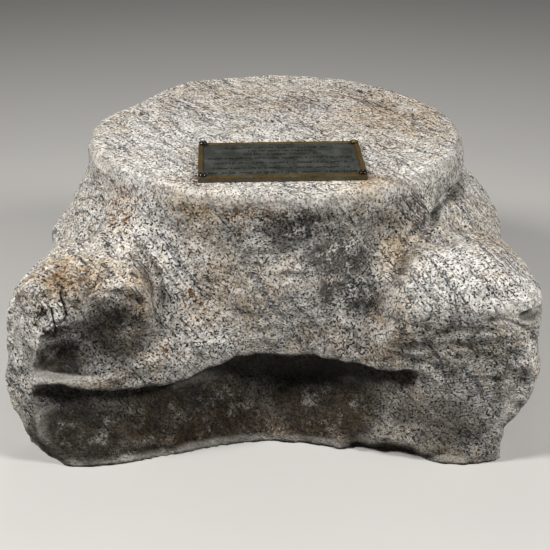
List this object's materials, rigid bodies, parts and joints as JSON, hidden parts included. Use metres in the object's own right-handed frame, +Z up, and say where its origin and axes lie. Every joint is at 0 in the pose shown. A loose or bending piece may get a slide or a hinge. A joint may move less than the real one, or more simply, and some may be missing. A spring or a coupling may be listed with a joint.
{
  "type": "ionic capital",
  "caption": "Weathered four-sided stone Ionic capital kept upside down on its abacus, with corner volutes and a small bronze plate screwed to its round bed",
  "frame": {"origin": "middle of the flat underside (the bed of the abacus), on the axis of the round bed on top", "axes": "+Z up, -Y towards the front with the two better kept volutes, +X to the right seen from the front"},
  "size_m": [0.6295, 0.6141, 0.3416],
  "materials": {
    "stone": "weathered grey-white gneiss, rough, with dark mica streaks, rust stains and soot",
    "bronze": "dark patinated bronze, olive and rubbed brighter on the raised border",
    "screw": "dark patinated bronze, smooth dome heads"
  },
  "bodies": {
    "root": {"capital": "stone", "plaque": "bronze", "screw_front_left": "screw", "screw_front_right": "screw", "screw_back_left": "screw", "screw_back_right": "screw"}
  },
  "joints": []
}
